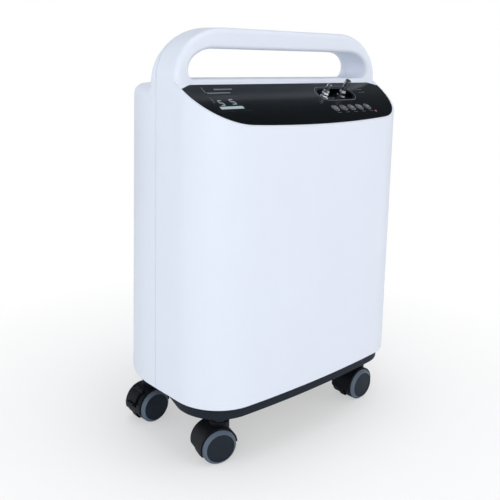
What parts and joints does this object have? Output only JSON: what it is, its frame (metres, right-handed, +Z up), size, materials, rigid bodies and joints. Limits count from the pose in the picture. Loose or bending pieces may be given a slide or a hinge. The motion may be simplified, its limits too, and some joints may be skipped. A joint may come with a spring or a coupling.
{
  "type": "stationary oxygen concentrator",
  "caption": "Upright rolling cabinet with an arched grab handle, a sloping gloss control panel with gas outlets and keys, a rear intake door, and swivelling twin-wheel casters.",
  "frame": {"origin": "on the floor at the centre of the footprint", "axes": "+Z up, front face towards -Y, +X to the right of someone facing the front"},
  "size_m": [0.356, 0.248, 0.513],
  "materials": {
    "shell_white": "satin moulded, cool white",
    "base_slate": "fine texture, dark slate",
    "panel_black": "high gloss black",
    "lcd_glass": "smoked window",
    "board": "solder mask",
    "chrome_metal": "polished",
    "dark_metal": "black plated",
    "key_grey": "soft touch dark grey with pale marks",
    "lamp_red": "translucent red",
    "moulding_black": "moulded black",
    "hood_black": "moulded near-black nylon",
    "wheel_slate": "slate wheel disc",
    "steel": "zinc plated",
    "foam": "open foam",
    "die_cast": "cast",
    "isolator": "moulded",
    "bed_metal": "satin tube",
    "sheet_steel": "zinc sheet",
    "copper_tube": "drawn copper",
    "clear_hose": "silicone"
  },
  "bodies": {
    "cabinet": {"base_tray": "base_slate", "front_shell": "shell_white", "rear_shell": "shell_white", "control_panel": "panel_black", "lcd_window": "lcd_glass", "lcd_module": "board", "outlet_cup": "panel_black", "oxygen_outlet": "chrome_metal", "nebuliser_outlet": "dark_metal", "keypad_board": "board", "alarm_lamp": "lamp_red", "outlet_manifold": "moulding_black", "intake_filter": "foam", "intake_silencer": "moulding_black", "power_inlet": "moulding_black", "switch_housing": "moulding_black", "breaker_body": "moulding_black", "caster_stems": "steel", "shell_screws": "steel", "compressor_housing": "die_cast", "compressor_heads": "die_cast", "compressor_mounts": "isolator", "equipment_shelf": "sheet_steel", "fan_frame": "moulding_black", "sieve_bed_a": "bed_metal", "sieve_bed_b": "bed_metal", "product_tank": "bed_metal", "valve_block": "die_cast", "exhaust_muffler": "moulding_black", "cooling_coil": "copper_tube", "main_board": "board", "air_tubes": "clear_hose"},
    "swivel_fl": {"caster_hood_fl": "hood_black", "caster_axle_fl": "steel"},
    "wheel_fl_a": {"wheel_fl_a": "wheel_slate"},
    "wheel_fl_b": {"wheel_fl_b": "wheel_slate"},
    "swivel_fr": {"caster_hood_fr": "hood_black", "caster_axle_fr": "steel"},
    "wheel_fr_a": {"wheel_fr_a": "wheel_slate"},
    "wheel_fr_b": {"wheel_fr_b": "wheel_slate"},
    "swivel_rl": {"caster_hood_rl": "hood_black", "caster_axle_rl": "steel"},
    "wheel_rl_a": {"wheel_rl_a": "wheel_slate"},
    "wheel_rl_b": {"wheel_rl_b": "wheel_slate"},
    "brake_rl": {"brake_lever_rl": "hood_black"},
    "swivel_rr": {"caster_hood_rr": "hood_black", "caster_axle_rr": "steel"},
    "wheel_rr_a": {"wheel_rr_a": "wheel_slate"},
    "wheel_rr_b": {"wheel_rr_b": "wheel_slate"},
    "brake_rr": {"brake_lever_rr": "hood_black"},
    "key_power": {"key_power": "key_grey"},
    "key_minus": {"key_minus": "key_grey"},
    "key_plus": {"key_plus": "key_grey"},
    "key_timer": {"key_timer": "key_grey"},
    "key_mode": {"key_mode": "key_grey"},
    "filter_door": {"filter_door": "shell_white"},
    "power_rocker": {"power_rocker": "moulding_black"},
    "breaker_button": {"breaker_button": "key_grey"},
    "fan_rotor": {"fan_rotor": "moulding_black"},
    "compressor_shaft": {"compressor_shaft": "steel"}
  },
  "joints": [
    {"name": "swivel_fl", "type": "hinge", "parent": "cabinet", "child": "swivel_fl", "pos_m": [-0.1315, -0.079, 0.048], "axis": [0, 0, 1], "continuous": true},
    {"name": "spin_fl_a", "type": "hinge", "parent": "swivel_fl", "child": "wheel_fl_a", "pos_m": [-0.13823, -0.07707, 0.0225], "axis": [-0.2756, -0.9613, 0], "continuous": true},
    {"name": "spin_fl_b", "type": "hinge", "parent": "swivel_fl", "child": "wheel_fl_b", "pos_m": [-0.13823, -0.07707, 0.0225], "axis": [-0.2756, -0.9613, 0], "continuous": true},
    {"name": "swivel_fr", "type": "hinge", "parent": "cabinet", "child": "swivel_fr", "pos_m": [0.1315, -0.079, 0.048], "axis": [0, 0, 1], "continuous": true},
    {"name": "spin_fr_a", "type": "hinge", "parent": "swivel_fr", "child": "wheel_fr_a", "pos_m": [0.1245, -0.079, 0.0225], "axis": [0, -1, 0], "continuous": true},
    {"name": "spin_fr_b", "type": "hinge", "parent": "swivel_fr", "child": "wheel_fr_b", "pos_m": [0.1245, -0.079, 0.0225], "axis": [0, -1, 0], "continuous": true},
    {"name": "swivel_rl", "type": "hinge", "parent": "cabinet", "child": "swivel_rl", "pos_m": [-0.1365, 0.059, 0.048], "axis": [0, 0, 1], "continuous": true},
    {"name": "spin_rl_a", "type": "hinge", "parent": "swivel_rl", "child": "wheel_rl_a", "pos_m": [-0.1435, 0.059, 0.0225], "axis": [0, -1, 0], "continuous": true},
    {"name": "spin_rl_b", "type": "hinge", "parent": "swivel_rl", "child": "wheel_rl_b", "pos_m": [-0.1435, 0.059, 0.0225], "axis": [0, -1, 0], "continuous": true},
    {"name": "brake_rl", "type": "hinge", "parent": "swivel_rl", "child": "brake_rl", "pos_m": [-0.1576, 0.059, 0.04506], "axis": [0, -1, 0], "range_deg": [0, 7], "stiffness_Nm_per_rad": 0.4},
    {"name": "swivel_rr", "type": "hinge", "parent": "cabinet", "child": "swivel_rr", "pos_m": [0.1365, 0.059, 0.048], "axis": [0, 0, 1], "continuous": true},
    {"name": "spin_rr_a", "type": "hinge", "parent": "swivel_rr", "child": "wheel_rr_a", "pos_m": [0.1295, 0.059, 0.0225], "axis": [0, -1, 0], "continuous": true},
    {"name": "spin_rr_b", "type": "hinge", "parent": "swivel_rr", "child": "wheel_rr_b", "pos_m": [0.1295, 0.059, 0.0225], "axis": [0, -1, 0], "continuous": true},
    {"name": "brake_rr", "type": "hinge", "parent": "swivel_rr", "child": "brake_rr", "pos_m": [0.1154, 0.059, 0.04506], "axis": [0, -1, 0], "range_deg": [0, 7], "stiffness_Nm_per_rad": 0.4},
    {"name": "press_power", "type": "slide", "parent": "cabinet", "child": "key_power", "axis": [0, 0.5312, -0.8472], "range_m": [0, 0.0008], "stiffness_N_per_m": 600},
    {"name": "press_minus", "type": "slide", "parent": "cabinet", "child": "key_minus", "axis": [0, 0.5312, -0.8472], "range_m": [0, 0.0008], "stiffness_N_per_m": 600},
    {"name": "press_plus", "type": "slide", "parent": "cabinet", "child": "key_plus", "axis": [0, 0.5312, -0.8472], "range_m": [0, 0.0008], "stiffness_N_per_m": 600},
    {"name": "press_timer", "type": "slide", "parent": "cabinet", "child": "key_timer", "axis": [0, 0.5312, -0.8472], "range_m": [0, 0.0008], "stiffness_N_per_m": 600},
    {"name": "press_mode", "type": "slide", "parent": "cabinet", "child": "key_mode", "axis": [0, 0.5312, -0.8472], "range_m": [0, 0.0008], "stiffness_N_per_m": 600},
    {"name": "filter_door_hinge", "type": "hinge", "parent": "cabinet", "child": "filter_door", "pos_m": [0, 0.1165, 0.2952], "axis": [-1, 0, 0], "range_deg": [0, 90]},
    {"name": "rocker_tilt", "type": "hinge", "parent": "cabinet", "child": "power_rocker", "pos_m": [0.012, 0.1106, 0.135], "axis": [-1, 0, 0], "range_deg": [0, 16]},
    {"name": "breaker_press", "type": "slide", "parent": "cabinet", "child": "breaker_button", "axis": [0, -1, 0], "range_m": [0, 0.002], "stiffness_N_per_m": 800},
    {"name": "fan_spin", "type": "hinge", "parent": "cabinet", "child": "fan_rotor", "pos_m": [0, -0.035, 0.33], "axis": [0, 0, 1], "continuous": true},
    {"name": "compressor_spin", "type": "hinge", "parent": "cabinet", "child": "compressor_shaft", "pos_m": [0, -0.035, 0.15], "axis": [1, 0, 0], "continuous": true}
  ]
}
